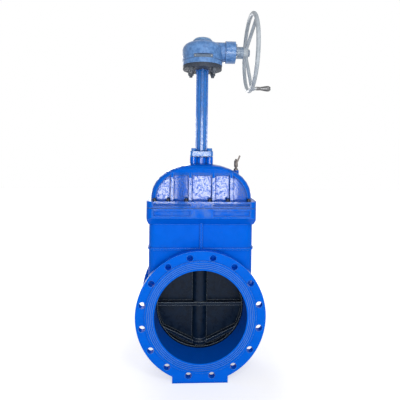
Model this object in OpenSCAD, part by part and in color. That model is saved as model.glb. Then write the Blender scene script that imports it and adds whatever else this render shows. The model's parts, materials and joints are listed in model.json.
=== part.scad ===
// Bolted bonnet gate valve with a resilient seated wedge, an extension column
// and a bevel gearbox turned by a handwheel.
// Millimetres. +Z runs up the stem, +Y downstream through the bore and +X
// towards the handwheel. The origin is the centre of the front bolting face.

/* [Pipe flanges] */
// Clear bore of the valve
bore_d = 400; // [330:1:480]
// Width of the raised sealing ring round the bore
seal_w = 41; // [32:0.5:50]
// Height of the raised sealing ring
seal_h = 4; // [2:0.5:6]
// From the sealing ring out to the bolt circle
bolt_circle_step = 16.5; // [16:0.5:24]
// From the bolt circle out to the flange rim
rim_step = 25; // [18:0.5:32]
// Bolt holes in each flange
bolt_count = 16; // [12:4:20]
// Diameter of a bolt hole
bolt_hole_d = 28; // [22:0.5:31]
// Thickness of a flange
flange_t = 28; // [22:0.5:36]
// Length over the two sealing faces
face_length = 310; // [256:1:372]
// Wall of the ports between flange and gate pocket
port_wall = 18; // [12:0.5:22]
// Fine sealing grooves cut in each raised face
groove_count = 4; // [2:1:5]
// Width of a sealing groove
groove_w = 2.8; // [1.5:0.1:3.5]
// Depth of a sealing groove
groove_depth = 1.8; // [0.5:0.1:2.5]

/* [Feet] */
// Width of each foot across the bore
foot_w = 240; // [190:1:290]
// How far a foot reaches below the flange rim
foot_drop = 2.5; // [1:0.5:12]

/* [Body] */
// Height of the body above the flange rims
body_rise = 178; // [148:1:214]
// Wall of the gate pocket
body_wall = 16; // [12:0.5:20]
// Rounding of the pocket's upright edges
body_corner = 30; // [20:1:36]
// Thickness of the flange at the top of the body
body_flange_t = 42; // [34:1:50]
// How far that flange stands out at the sides
side_ledge = 9; // [6:0.5:14]
// How far that flange stands out at the front and back
front_ledge = 46; // [38:1:55]
// Height of the slope under that flange
skirt_h = 35; // [28:1:42]
// Rounding of that flange's corners
flange_corner = 34; // [26:1:40]
// Width of the flush pad at the middle of that flange
pad_w = 100; // [80:1:130]
// Depth of the shallow recess on each side of the pad
recess_depth = 5; // [3:0.5:6]
// Lip left above and below a recess
recess_lip = 9; // [6:0.5:12]
// Radius of the fillets where ports, flanges and pocket meet
fillet_r = 12; // [6:1:14]
// Height of the level rib's underside above the flange rims
level_rib_rise = -14; // [-30:1:20]
// Thickness of the level rib
level_rib_t = 8; // [5:0.5:12]
// How far the level rib stands proud
level_rib_out = 5; // [3:0.5:8]
// Width of the upright centre rib
centre_rib_w = 9; // [6:0.5:14]
// How far the centre rib stands proud
centre_rib_out = 9; // [5:0.5:14]

/* [Wedge and stem] */
// How far the wedge's rim laps past the bore
seat_lap = 8; // [5:0.5:12]
// Half the thickness of the wedge at the bore's axis
wedge_half_t = 39; // [36:0.5:48]
// Lean of each wedge face, so that the wedge is thicker at the top
wedge_lean = 3; // [1:0.1:4]
// How far the seat rings stand out from the pocket's walls at the top
seat_stand = 9; // [6:0.5:14]
// How far the seat rings lap past the wedge's rim
seat_edge = 4; // [2:0.5:6]
// Width of the wedge's sealing rim
wedge_rim_w = 13; // [11:0.5:16]
// Half the thickness of the wedge's web
web_half_t = 9; // [7:0.5:11]
// How far the wedge's ribs stand out from its web
wedge_rib_out = 28; // [22:0.5:32]
// Diameter of the tube down the middle of the wedge
wedge_tube_d = 70; // [68:1:80]
// Thickness of the wedge's ribs
wedge_rib_t = 14; // [11:0.5:17]
// Height of the level rib above the bore's axis
wedge_rib_z = 5; // [-2:0.5:12]
// Rise of the two low ribs towards the rim
wedge_rib_lean = 26; // [20:0.5:32]
// How far the collar and the foot stand out round the wedge's tube
tube_collar = 5; // [3:0.5:6]
// Height of the wedge's tube foot above the bottom of the bore
tube_foot_rise = 18; // [12:0.5:24]
// How far the wedge's head stands above its rim
wedge_head_rise = 14; // [8:1:24]
// How far the wedge's head stands out past its tube
wedge_head_out = 18; // [12:1:24]
// Width of each side shoe's foothold on the rim
shoe_w = 20; // [14:0.5:26]
// How far the side shoes stand out past the rim
shoe_out = 6; // [4:0.5:8]
// Diameter of the stem
stem_d = 36; // [30:1:43]
// Clearance round the stem inside the wedge
stem_way = 4; // [3:0.5:5]
// Wall of the stem nut outside the stem's way
nut_wall = 5; // [4:0.5:7]
// Length of the stem nut
nut_h = 46; // [38:1:55]
// Extra travel that clears the bore when open
over_travel = 2; // [0:0.5:10]

/* [Bonnet] */
// Thickness of the bonnet's flange
bonnet_flange_t = 29; // [24:0.5:35]
// Thickness of the bonnet gasket
gasket_t = 2; // [1:0.5:4]
// Wall of the dome
dome_wall = 14; // [10:0.5:18]
// How far the flange reaches out past the dome's sides
dome_set_in = 17; // [13:0.5:20]
// Half the depth of the dome at its foot
dome_half_depth = 96; // [86:0.5:101]
// Room above the wedge's head when it is fully up
crown_room = 16; // [8:1:24]
// Fullness of the dome seen from the front (2 is an ellipse)
dome_fullness = 2.3; // [2:0.05:2.8]
// Fullness of the dome seen from the side
dome_side_fullness = 5; // [3.5:0.1:7]
// Thickness of a dome rib
dome_rib_t = 12; // [8:0.5:16]
// How far a dome rib stands proud
dome_rib_out = 17; // [10:0.5:21]
// Height of the upright foot of a dome rib
rib_foot_h = 10; // [6:0.5:14]
// Height of the slope at the top of a dome rib
rib_tip_h = 24; // [18:0.5:30]
// Depth of the flat panels between the ribs
panel_depth = 7; // [4:0.5:9]
// Width of the rounded band round the panels
panel_set_in = 22; // [16:1:30]
// How far down from the crown the panels start
panel_drop = 50; // [42:1:66]
// Side offset of the inner ribs
inner_rib_x = 52; // [42:1:62]
// Side offset of the outer ribs
outer_rib_x = 132; // [110:1:150]
// How far down from the crown the ribs reach
rib_top_drop = 36; // [30:1:60]
// Height of the neck above the crown
neck_rise = 33; // [26:1:40]
// Diameter of the neck
neck_d = 88; // [76:1:100]
// Diameter of the pillars that carry the column
pillar_d = 30; // [24:1:34]
// Rounding of the base plate's corners
plate_corner = 12; // [6:1:15]

/* [Extension column] */
// Side of the square base plate
base_plate_w = 105; // [95:1:125]
// Thickness of the base plate
base_plate_t = 23; // [18:0.5:28]
// Length of the column between its plates
column_h = 384; // [320:1:461]
// Diameter of the column's round core
core_d = 42; // [35:1:50]
// Width over the column's cross of ribs
cross_w = 57; // [50:1:68]
// Thickness of a column rib
cross_rib_t = 11; // [8:0.5:14]
// Diameter of the column's top flange
top_plate_d = 184; // [150:1:190]
// Thickness of the top flange
top_plate_t = 17; // [14:0.5:21]

/* [Gearbox] */
// Diameter of the gear housing
housing_d = 190; // [172:1:212]
// Thickness of the flange under the housing
gear_flange_t = 22; // [18:0.5:27]
// How far the housing stands out past that flange
gear_flange_in = 1.5; // [0.5:0.5:4]
// Height of the housing's upright wall
wall_h = 48; // [40:1:58]
// Radius of the housing's rounded shoulder
shoulder_r = 36; // [30:0.5:42]
// How far round the shoulder turns before its slope starts
shoulder_turn = 68; // [66:1:80]
// Height from the wall to the cap
shoulder_h = 43; // [38:1:52]
// Diameter of the round cap
cap_d = 92; // [78:1:104]
// Height of the cap
cap_h = 16; // [12:0.5:22]
// Width of the ledge round the cap
cap_ledge = 5; // [3:0.5:8]
// Diameter of the pinion arm
arm_d = 92; // [80:1:104]
// Height of the arm's underside above the housing's rim
arm_rise = 1.5; // [1:0.5:6]
// How far the arm reaches out past the housing
arm_out = 12; // [9:0.5:16]
// Diameter of the bearing collar
collar_d = 104; // [88:1:118]
// Length of the bearing collar
collar_l = 47; // [40:1:56]
// Diameter of the shaft sleeve
sleeve_d = 56; // [48:1:66]
// Length of the shaft sleeve
sleeve_l = 38; // [32:1:46]
// Diameter of the input shaft
shaft_d = 25; // [20:0.5:30]
// Width of the blank nameplate
plate_w = 86; // [70:1:100]
// Height of the blank nameplate
plate_h = 13; // [9:0.5:18]
// Thickness of the nameplate
plate_t = 2; // [1:0.5:3]
// Height of the nameplate's lower edge above the housing's rim
plate_rise = 2; // [0.5:0.5:8]

/* [Handwheel] */
// Diameter over the rim
wheel_d = 376; // [314:1:450]
// Diameter of the rim's round section
rim_d = 19; // [16:0.5:24]
// How far the rim is dished out from the hub
dish = 26; // [18:0.5:34]
// Diameter of the hub
hub_d = 56; // [48:1:66]
// Length of the hub
hub_l = 22; // [18:0.5:28]
// Diameter of a spoke
spoke_d = 16; // [13:0.5:19]
// Angle of the crank handle from the top, turning to the front
crank_angle = 168; // [120:1:180]
// Length of the revolving grip
grip_l = 62; // [52:1:76]
// Largest diameter of the grip
grip_d = 26; // [22:0.5:32]
// Diameter of the pin in the grip
pin_d = 11; // [9:0.5:12]
// Length of the pin's shoulder between wheel and grip
pin_shoulder = 10; // [6:0.5:14]
// Width of the wheel nut across its flats
wheel_nut_w = 30; // [28:0.5:34]
// Height of the wheel nut above its washer
wheel_nut_h = 6; // [5:0.5:8]

/* [Air cock] */
// Side offset of the air cock's boss
cock_x = 166; // [155:1:175]
// Diameter of the boss
cock_boss_d = 28; // [24:1:34]
// Height of the boss's seat below the crown
cock_drop = 30; // [24:1:40]
// Height of the nipple
nipple_l = 16; // [12:0.5:20]
// Diameter of the cock's body
cock_d = 18; // [15:0.5:21]
// Height of the cock's body
cock_h = 30; // [24:0.5:36]
// Diameter of the lever's spindle
spindle_d = 6; // [5:0.5:7]
// Length of the lever
lever_l = 42; // [34:1:52]
// Width of the lever
lever_w = 8; // [6:0.5:10]
// Thickness of the lever
lever_t = 3; // [2:0.5:4]
// Lean of the lever from upright
lever_lean = 22; // [0:1:40]

/* [Fits] */
// Radial clearance of a turning or screwed fit
run_fit = 0.05; // [0.02:0.01:0.1]
// Gap between faces that slide past each other
face_gap = 0.3; // [0.2:0.05:0.5]
// Least clearance round the moving wedge
wedge_room = 6; // [5.5:0.5:9]

/* [Hidden] */
$fn = 96;
sliver = 0.1;

// Flanges and body, all set out from the bore
bore_r = bore_d / 2;
seal_r = bore_r + seal_w;
bolt_circle_r = seal_r + bolt_circle_step;
flange_r = bolt_circle_r + rim_step;
mid_y = face_length / 2 - seal_h;
port_r = bore_r + port_wall;
foot_z = -flange_r - foot_drop;

wedge_r = bore_r + seat_lap;
pocket_half_w = wedge_r + shoe_out + wedge_room;
// A whole number, so that the pocket's arcs and walls meet cleanly
pocket_half_d = ceil(wedge_half(port_r) + wedge_room + seat_stand);
pocket_corner = body_corner - body_wall;
body_half_w = pocket_half_w + body_wall;
body_half_d = pocket_half_d + body_wall;
body_top_z = flange_r + body_rise;
body_flange_z = body_top_z - body_flange_t;
flange_half_w = body_half_w + side_ledge;
flange_half_d = body_half_d + front_ledge;
level_rib_z = flange_r + level_rib_rise;

// Bonnet
bonnet_z = body_top_z + gasket_t;
dome_z = bonnet_z + bonnet_flange_t;
lift = bore_d + over_travel;
wedge_top = wedge_r + wedge_head_rise;
nut_d = stem_d + 2 * stem_way + 2 * nut_wall;
foot_flare_d = wedge_tube_d + 3 * tube_collar;
wedge_foot_z = tube_foot_rise - bore_r;
shoe_h = body_top_z - lift - wedge_room;
stem_z = wedge_top - nut_h - 4;
crown_z = wedge_top + lift + crown_room + dome_wall;
dome_rise = crown_z - dome_z;
dome_half_w = flange_half_w - dome_set_in;
dome_inner_d = dome_half_depth - dome_wall - panel_depth;
dome_corner = flange_corner;
dome_inner_corner = dome_corner - dome_wall + 4;
neck_z = crown_z + neck_rise;
pillar_at = base_plate_w / 2 - pillar_d / 2;

// Column and gearbox
base_plate_z = neck_z + gasket_t;
column_z = base_plate_z + base_plate_t;
top_plate_z = column_z + column_h;
gear_z = top_plate_z + top_plate_t;
rim_z = gear_z + gear_flange_t;
shoulder_z = rim_z + wall_h;
cap_z = shoulder_z + shoulder_h;
axis_z = rim_z + arm_rise + arm_d / 2;
// The flat for the nameplate is just deep enough to be as wide as the plate
plate_y = mid_y - sqrt(pow(housing_d / 2, 2) - pow(plate_w / 2 + 1, 2));

// Handwheel
collar_x = housing_d / 2 + arm_out;
sleeve_x = collar_x + collar_l;
hub_x = sleeve_x + sleeve_l + face_gap;
rim_x = hub_x + hub_l / 2 + dish;
rim_r = (wheel_d - rim_d) / 2;
crank_boss_d = rim_d + 3;
crank_x = rim_x + crank_boss_d / 2 + 1.5;
grip_x = crank_x + pin_shoulder + face_gap;
pin_head_d = pin_d + 5;

// Air cock
cock_z = crown_z - cock_drop;
cock_body_z = cock_z + nipple_l;
lever_pivot_z = cock_body_z + cock_h / 2;
lever_y = cock_d / 2 + 4;
cock_foot_z = dome_z + dome_at(cock_x) - 1.3 * dome_wall;

body_blue = [0.02, 0.38, 0.88];
gear_blue = [0.33, 0.50, 0.74];
wheel_grey = [0.52, 0.58, 0.64];
rubber = [0.10, 0.12, 0.15];
brass = [0.75, 0.60, 0.30];
steel = [0.62, 0.63, 0.65];

// Half the wedge's thickness at height z above the bore's axis
function wedge_half(z) = wedge_half_t + z * tan(wedge_lean);

// Height of a rounded outline at h, both running from 0 to 1
function bulge(h, fullness) = pow(1 - pow(h, fullness), 1 / fullness);

// Height of the dome's outline above its foot, at side offset x
function dome_at(x) = dome_rise * bulge(min(abs(x) / dome_half_w, 1), dome_fullness);

// Extrudes an outline drawn in X and Z from y0 to y1
module front_view(y0, y1)
    translate([0, y1, 0]) rotate([90, 0, 0]) linear_extrude(y1 - y0) children();

// Extrudes an outline drawn in Y and Z from x0 to x1
module side_view(x0, x1)
    translate([x0, 0, 0]) rotate([90, 0, 90]) linear_extrude(x1 - x0) children();

// A round bar or hole along Y
module round_y(r, y0, y1)
    translate([0, y0, 0]) rotate([-90, 0, 0]) cylinder(r = r, h = y1 - y0);

// A round bar or hole along X, about the input shaft's axis
module round_x(r, x0, x1)
    translate([x0, mid_y, axis_z]) rotate([0, 90, 0]) cylinder(r = r, h = x1 - x0);

// Places its children at the front end and, mirrored, at the rear end
module both_ends() {
    children();
    translate([0, 2 * mid_y, 0]) mirror([0, 1, 0]) children();
}

// Places its children on the front and, mirrored, on the back of the stem axis
module front_and_back()
    for (turn = [0, 1]) translate([0, mid_y, 0]) mirror([0, turn, 0]) children();

// Moves its children onto the stem axis
module on_stem(z = 0) translate([0, mid_y, z]) children();

module rounded_rect(half_w, half_d, r) {
    square([2 * (half_w - r), 2 * half_d], center = true);
    square([2 * half_w, 2 * (half_d - r)], center = true);
    for (sx = [-1, 1], sy = [-1, 1])
        translate([sx * (half_w - r), sy * (half_d - r)]) circle(r);
}

// The shield shape of the gate pocket: round under the bore axis, straight above
module shield(half_w, half_d, r, top) on_stem() {
    linear_extrude(top) rounded_rect(half_w, half_d, r);
    rotate([90, 0, 0]) rotate([0, 0, 180]) rotate_extrude(angle = 180) {
        translate([0, -half_d]) square([half_w - r, 2 * half_d]);
        translate([0, r - half_d]) square([half_w, 2 * (half_d - r)]);
        for (side = [-1, 1]) translate([half_w - r, side * (half_d - r)]) circle(r);
    }
}

// A slab on the stem axis whose faces lean as the wedge's do, spread by room
module wedge_slab(room) {
    low = -wedge_r - 2 * wedge_room;
    high = wedge_r + 2 * wedge_room;
    side_view(-2 * wedge_r, 2 * wedge_r) polygon([
        [-wedge_half(low) - room, low], [wedge_half(low) + room, low],
        [wedge_half(high) + room, high], [-wedge_half(high) - room, high]]);
}

// Concentric rings, each a square section, for the sealing grooves
module seal_grooves()
    translate([0, -seal_h, 0]) rotate([-90, 0, 0])
        for (i = [0 : groove_count - 1])
            translate([0, 0, -1]) rotate_extrude()
                translate([bore_r + seal_w * (i + 1) / (groove_count + 1.5), 0])
                    square([groove_w, groove_depth + 1]);

// A ring round a port that fills the corner with a hollow fillet, at y facing +Y
module port_fillet(y) translate([0, y, 0]) rotate([-90, 0, 0]) rotate_extrude()
    translate([port_r - 1, 0]) difference() {
        square([fillet_r + 1, fillet_r]);
        translate([fillet_r + 1, fillet_r]) circle(fillet_r);
    }

module end_flange() {
    round_y(flange_r, 0, flange_t);
    round_y(seal_r, -seal_h, 1);
    port_fillet(flange_t);
    translate([0, mid_y - body_half_d, 0]) mirror([0, 1, 0]) port_fillet(0);
    // Foot
    translate([-foot_w / 2, 0, foot_z])
        cube([foot_w, flange_t, flange_r - port_r + foot_drop]);
}

// The slope from the pocket out to the top flange, the same on all four sides
module skirt() intersection() {
    front_view(mid_y - flange_half_d, mid_y + flange_half_d) polygon([
        [-body_half_w, body_flange_z - skirt_h], [body_half_w, body_flange_z - skirt_h],
        [flange_half_w, body_flange_z + 1], [-flange_half_w, body_flange_z + 1]]);
    side_view(-flange_half_w, flange_half_w) polygon([
        [mid_y - body_half_d, body_flange_z - skirt_h],
        [mid_y + body_half_d, body_flange_z - skirt_h],
        [mid_y + flange_half_d, body_flange_z + 1],
        [mid_y - flange_half_d, body_flange_z + 1]]);
    on_stem(body_flange_z - skirt_h - 1) linear_extrude(skirt_h + 2)
        rounded_rect(flange_half_w, flange_half_d, flange_corner);
}

// Shallow recesses on both sides of the pad, on the front and back of a flange
module flange_recesses(z, t) for (turn = [0, 1], side = [0, 1])
    translate([0, mid_y, z + recess_lip]) mirror([0, turn, 0]) mirror([side, 0, 0])
        translate([pad_w / 2, -flange_half_d - 1, 0])
            cube([flange_half_w - pad_w / 2 - flange_corner, recess_depth + 1, t - 2 * recess_lip]);

module valve_body() color(body_blue) difference() {
    union() {
        both_ends() end_flange();
        round_y(port_r, 0, 2 * mid_y);
        shield(body_half_w, body_half_d, body_corner, body_flange_z + 1);
        skirt();
        on_stem(body_flange_z) linear_extrude(body_flange_t)
            rounded_rect(flange_half_w, flange_half_d, flange_corner);
        on_stem(level_rib_z) linear_extrude(level_rib_t)
            rounded_rect(body_half_w + level_rib_out, body_half_d + level_rib_out,
                body_corner + level_rib_out);
        front_and_back()
            translate([-centre_rib_w / 2, -body_half_d - centre_rib_out, level_rib_z])
                cube([centre_rib_w, centre_rib_out + 1,
                    body_flange_z - level_rib_z - skirt_h / 2]);
    }
    difference() {
        shield(pocket_half_w, pocket_half_d, pocket_corner, body_top_z + 1);
        // Seat rings left standing round the bore, their faces leaning as the wedge's do
        difference() {
            round_y(wedge_r + seat_edge, mid_y - pocket_half_d - 1, mid_y + pocket_half_d + 1);
            on_stem() wedge_slab(wedge_room);
        }
    }
    round_y(bore_r, -seal_h - 1, 2 * mid_y + seal_h + 1);
    flange_recesses(body_flange_z, body_flange_t);
    both_ends() {
        for (i = [0 : bolt_count - 1])
            rotate([0, (i + 0.5) * 360 / bolt_count, 0]) translate([bolt_circle_r, 0, 0])
                round_y(bolt_hole_d / 2, -1, flange_t + 1);
        seal_grooves();
    }
}

module bonnet_gasket() color(rubber) on_stem(body_top_z) linear_extrude(gasket_t)
    difference() {
        rounded_rect(flange_half_w - 3, flange_half_d - 3, flange_corner - 3);
        rounded_rect(pocket_half_w, pocket_half_d, pocket_corner);
    }

// The dome, built up from level slices that shrink towards the crown
module dome(half_w, half_d, rise, corner) on_stem(dome_z) hull()
    for (turn = [0 : 10 : 80]) let(h = sin(turn),
        w = half_w * bulge(h, dome_fullness), d = half_d * bulge(h, dome_side_fullness))
        translate([0, 0, rise * h]) linear_extrude(sliver)
            rounded_rect(w, d, min(corner, 0.6 * min(w, d)), $fn = 28);

// One upright rib of the dome: it leans in from its foot, and its top slopes
// back into the roof
module dome_rib(x) let(
    top = min(dome_at(abs(x) + dome_rib_t / 2) - dome_wall / 2, dome_rise - rib_top_drop),
    face = -dome_half_depth, root = face + panel_depth, inside = root + dome_wall / 2)
    translate([0, 0, dome_z]) side_view(x - dome_rib_t / 2, x + dome_rib_t / 2)
        polygon([
            [inside, -1], [face - dome_rib_out, -1], [face - dome_rib_out, rib_foot_h],
            [face - dome_rib_out / 3, top - rib_tip_h], [root, top], [inside, top]]);

// Outline of the flat panels: the dome's own outline drawn in, and cut off level
module panel_outline() intersection() {
    half_w = dome_half_w - panel_set_in;
    polygon([for (turn = [0 : 6 : 180]) let(x = half_w * cos(turn))
        [x, (dome_rise - panel_set_in) * bulge(abs(cos(turn)), dome_fullness)]]);
    translate([-half_w, 0]) square([2 * half_w, dome_rise - panel_drop]);
}

module bonnet() color(body_blue) difference() {
    union() {
        on_stem(bonnet_z) linear_extrude(bonnet_flange_t)
            rounded_rect(flange_half_w, flange_half_d, flange_corner);
        difference() {
            dome(dome_half_w, dome_half_depth, dome_rise, dome_corner);
            front_and_back() translate([0, 0, dome_z])
                front_view(-dome_half_depth - 1, panel_depth - dome_half_depth) panel_outline();
        }
        front_and_back()
            for (x = [-outer_rib_x, -inner_rib_x, inner_rib_x, outer_rib_x]) dome_rib(x);
        on_stem(crown_z - dome_wall) cylinder(d = neck_d, h = neck_rise + dome_wall);
        for (sx = [-1, 1], sy = [-1, 1])
            translate([sx * pillar_at, mid_y + sy * pillar_at, crown_z - 1.6 * dome_wall])
                cylinder(d = pillar_d, h = neck_rise + 1.6 * dome_wall);
        translate([cock_x, mid_y, cock_foot_z])
            cylinder(d = cock_boss_d, h = cock_z - cock_foot_z);
    }
    dome(dome_half_w - dome_wall, dome_inner_d, dome_rise - dome_wall, dome_inner_corner);
    on_stem(bonnet_z - 1) linear_extrude(bonnet_flange_t + 2)
        rounded_rect(dome_half_w - dome_wall, dome_inner_d, dome_inner_corner);
    on_stem(crown_z - 3 * dome_wall) cylinder(d = stem_d + 2 * run_fit, h = 4 * dome_wall + neck_rise);
    flange_recesses(bonnet_z, bonnet_flange_t);
}

module neck_gasket() color(rubber) on_stem(neck_z) linear_extrude(gasket_t)
    difference() {
        rounded_rect(base_plate_w / 2 - 4, base_plate_w / 2 - 4, plate_corner - 2);
        circle(d = stem_d + 2 * run_fit);
    }

// The wedge's ribs on one face: one level, and two that meet low down in a V
module wedge_ribs() {
    reach = web_half_t + wedge_rib_out;
    translate([-wedge_r, 0, wedge_rib_z - wedge_rib_t / 2]) cube([2 * wedge_r, reach, wedge_rib_t]);
    for (side = [0, 1]) mirror([side, 0, 0])
        translate([wedge_tube_d / 3, 0, wedge_rib_t - bore_r]) rotate([0, -wedge_rib_lean, 0])
            cube([wedge_r, reach, wedge_rib_t]);
}

// The disc of the wedge: a web inside a thick sealing rim, with leaning faces
module wedge_disc() intersection() {
    union() {
        round_y(wedge_r - wedge_rim_w / 2, -web_half_t, web_half_t);
        rotate([90, 0, 0]) rotate_extrude()
            translate([wedge_r - wedge_rim_w, -pocket_half_d])
                square([wedge_rim_w, 2 * pocket_half_d]);
        intersection() {
            for (turn = [0, 1]) mirror([0, turn, 0]) wedge_ribs();
            round_y(wedge_r - wedge_rim_w / 2, -wedge_half_t, wedge_half_t);
            wedge_slab(-1);
        }
    }
    wedge_slab(0);
}

module gate_wedge() color(rubber) on_stem() difference() {
    union() {
        wedge_disc();
        // Tube for the stem, with a flared foot and a collar at the level rib
        translate([0, 0, wedge_foot_z]) {
            cylinder(d = wedge_tube_d, h = wedge_top - wedge_foot_z);
            cylinder(d = foot_flare_d, h = wedge_rib_t);
            translate([0, 0, wedge_rib_t])
                cylinder(d1 = foot_flare_d, d2 = wedge_tube_d, h = 2 * tube_collar);
        }
        translate([0, 0, wedge_rib_z - wedge_rib_t / 2])
            cylinder(d = wedge_tube_d + 2 * tube_collar, h = wedge_rib_t);
        // Head that holds the stem nut
        translate([0, 0, wedge_top - nut_h - wedge_head_out]) linear_extrude(nut_h + wedge_head_out)
            rounded_rect(wedge_tube_d / 2 + wedge_head_out, wedge_tube_d / 2, wedge_tube_d / 6);
        // Side shoes that follow the pocket's walls
        for (side = [-1, 1])
            translate([side * (wedge_r + shoe_out - shoe_w / 2) - shoe_w / 2, -wedge_half_t / 2, 0])
                cube([shoe_w, wedge_half_t, shoe_h]);
    }
    translate([0, 0, -wedge_r - 1]) cylinder(d = stem_d + 2 * stem_way, h = wedge_r + wedge_top + 2);
    translate([0, 0, wedge_top - nut_h]) cylinder(d = nut_d, h = nut_h + 1);
}

module stem_nut() color(brass) on_stem(wedge_top - nut_h) difference() {
    cylinder(d = nut_d, h = nut_h);
    translate([0, 0, -1]) cylinder(d = stem_d + 2 * run_fit, h = nut_h + 2);
}

module stem() color(steel) on_stem(stem_z)
    cylinder(d = stem_d, h = base_plate_z - stem_z);

module column_base() color(body_blue) on_stem(base_plate_z) linear_extrude(base_plate_t)
    rounded_rect(base_plate_w / 2, base_plate_w / 2, plate_corner);

module extension_column() color(body_blue) on_stem(column_z) {
    cylinder(d = core_d, h = column_h);
    for (turn = [0, 90]) rotate([0, 0, turn])
        translate([-cross_w / 2, -cross_rib_t / 2, 0]) cube([cross_w, cross_rib_t, column_h]);
}

module column_top_flange() color(body_blue) on_stem(top_plate_z)
    cylinder(d = top_plate_d, h = top_plate_t);

module gearbox_base() color(gear_blue) on_stem(gear_z)
    cylinder(d = housing_d - 2 * gear_flange_in, h = gear_flange_t);

// Half outline of the drum: upright wall, round shoulder, slope up to the cap
module drum_outline() {
    inner = housing_d / 2 - shoulder_r;
    square([housing_d / 2, wall_h]);
    translate([inner, wall_h]) circle(shoulder_r);
    polygon([
        [0, 0], [inner, wall_h],
        [inner + shoulder_r * cos(shoulder_turn), wall_h + shoulder_r * sin(shoulder_turn)],
        [cap_d / 2 + cap_ledge, wall_h + shoulder_h], [0, wall_h + shoulder_h]]);
}

// The drum, and the arm that carries the pinion
module gearbox_housing() color(gear_blue) difference() {
    union() {
        on_stem(rim_z) rotate_extrude() drum_outline();
        round_x(arm_d / 2, cap_d / 2 + cap_ledge, collar_x);
    }
    // Flat for the nameplate
    translate([-plate_w, plate_y - housing_d, rim_z - 1])
        cube([2 * plate_w, housing_d, plate_rise + plate_h + 3]);
}

module gearbox_cap() color(gear_blue) on_stem(cap_z)
    rotate_extrude() polygon([
        [0, 0], [cap_d / 2, 0], [cap_d / 2, cap_h / 2], [cap_d / 2 - cap_h / 2, cap_h], [0, cap_h]]);

module pinion_collar() color(gear_blue) difference() {
    round_x(collar_d / 2, collar_x, collar_x + collar_l);
    round_x(shaft_d / 2 + run_fit, collar_x - 1, collar_x + collar_l + 1);
}

module pinion_sleeve() color(gear_blue) difference() {
    round_x(sleeve_d / 2, sleeve_x, sleeve_x + sleeve_l);
    round_x(shaft_d / 2 + run_fit, sleeve_x - 1, sleeve_x + sleeve_l + 1);
}

module blank_nameplate() color(steel)
    translate([-plate_w / 2, plate_y - plate_t, rim_z + plate_rise])
        cube([plate_w, plate_t, plate_h]);

module input_shaft() color(steel)
    round_x(shaft_d / 2, collar_x + face_gap, hub_x + hub_l + 2);

// Turns its children about the input shaft, from the top towards the front
module round_wheel(angle) translate([0, mid_y, axis_z]) rotate([angle, 0, 0]) children();

module handwheel() color(wheel_grey) difference() {
    spoke_x = hub_x + hub_l / 2;
    lean = atan(dish / rim_r);
    spoke_foot = hub_d / 4;
    union() {
        round_x(hub_d / 2, hub_x, hub_x + hub_l);
        translate([rim_x, mid_y, axis_z]) rotate([0, 90, 0]) rotate_extrude()
            translate([rim_r, 0]) circle(d = rim_d);
        for (i = [0 : 2]) round_wheel(crank_angle + 120 * i)
            translate([spoke_x, 0, 0]) rotate([0, lean, 0]) translate([0, 0, spoke_foot])
                cylinder(d = spoke_d, h = norm([dish, rim_r]) - spoke_foot);
        round_wheel(crank_angle) translate([rim_x, 0, rim_r]) rotate([0, 90, 0])
            cylinder(d = crank_boss_d, h = crank_x - rim_x);
    }
    round_x(shaft_d / 2, hub_x - 1, hub_x + hub_l + 1);
}

module wheel_nut() color(steel) difference() {
    translate([hub_x + hub_l, mid_y, axis_z]) rotate([0, 90, 0]) {
        cylinder(d = wheel_nut_w + 6, h = 3);
        cylinder(d = wheel_nut_w / cos(30), h = 3 + wheel_nut_h, $fn = 6);
    }
    round_x(shaft_d / 2, hub_x, hub_x + hub_l + 2);
}

module on_crank(x) round_wheel(crank_angle) translate([x, 0, rim_r]) rotate([0, 90, 0])
    children();

module crank_pin() color(steel) {
    on_crank(crank_x) cylinder(d = pin_head_d, h = pin_shoulder);
    on_crank(crank_x + pin_shoulder - 1) cylinder(d = pin_d, h = grip_l + 2 + 2 * face_gap);
    on_crank(grip_x + grip_l + face_gap) cylinder(d = pin_head_d, h = 3);
}

// A pear-shaped grip: slim at the wheel, full towards its end
module crank_grip() color(steel) on_crank(grip_x) rotate_extrude() difference() {
    polygon([
        [0, 0], [grip_d * 0.34, 0], [grip_d * 0.31, grip_l * 0.3], [grip_d * 0.42, grip_l * 0.55],
        [grip_d / 2, grip_l * 0.75], [grip_d / 2, grip_l * 0.9], [grip_d * 0.4, grip_l],
        [0, grip_l]]);
    translate([0, -1]) square([pin_d / 2 + run_fit, grip_l + 2]);
}

module air_cock_nipple() color(steel) translate([cock_x, mid_y, cock_z]) {
    cylinder(d = cock_d + 2, h = nipple_l / 2, $fn = 6);
    cylinder(d = cock_d * 2 / 3, h = nipple_l);
}

module air_cock_body() color(steel) translate([cock_x, mid_y, cock_body_z]) {
    cylinder(d = cock_d, h = cock_h);
    translate([0, 0, cock_h]) cylinder(d = cock_d / 2, h = cock_h / 4);
    // Spindle that the lever turns on
    translate([0, -lever_y - lever_t - 2, cock_h / 2]) rotate([-90, 0, 0])
        cylinder(d = spindle_d, h = lever_y + lever_t + 2);
}

module air_cock_lever() color(steel)
    translate([cock_x, mid_y - lever_y, lever_pivot_z]) rotate([0, lever_lean, 0]) difference() {
        union() {
            translate([-lever_w / 2, -lever_t, 0]) cube([lever_w, lever_t, lever_l]);
            rotate([90, 0, 0]) cylinder(d = 2 * spindle_d, h = lever_t);
        }
        translate([0, -lever_t - 1, 0]) rotate([-90, 0, 0])
            cylinder(d = spindle_d + 2 * run_fit, h = lever_t + 2);
    }

valve_body();
bonnet_gasket();
bonnet();
gate_wedge();
stem_nut();
stem();
neck_gasket();
column_base();
extension_column();
column_top_flange();
gearbox_base();
gearbox_housing();
gearbox_cap();
pinion_collar();
pinion_sleeve();
blank_nameplate();
input_shaft();
handwheel();
wheel_nut();
crank_pin();
crank_grip();
air_cock_nipple();
air_cock_body();
air_cock_lever();
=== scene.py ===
import json
import math

import bpy
import numpy as np
from mathutils import Matrix, Vector


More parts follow.
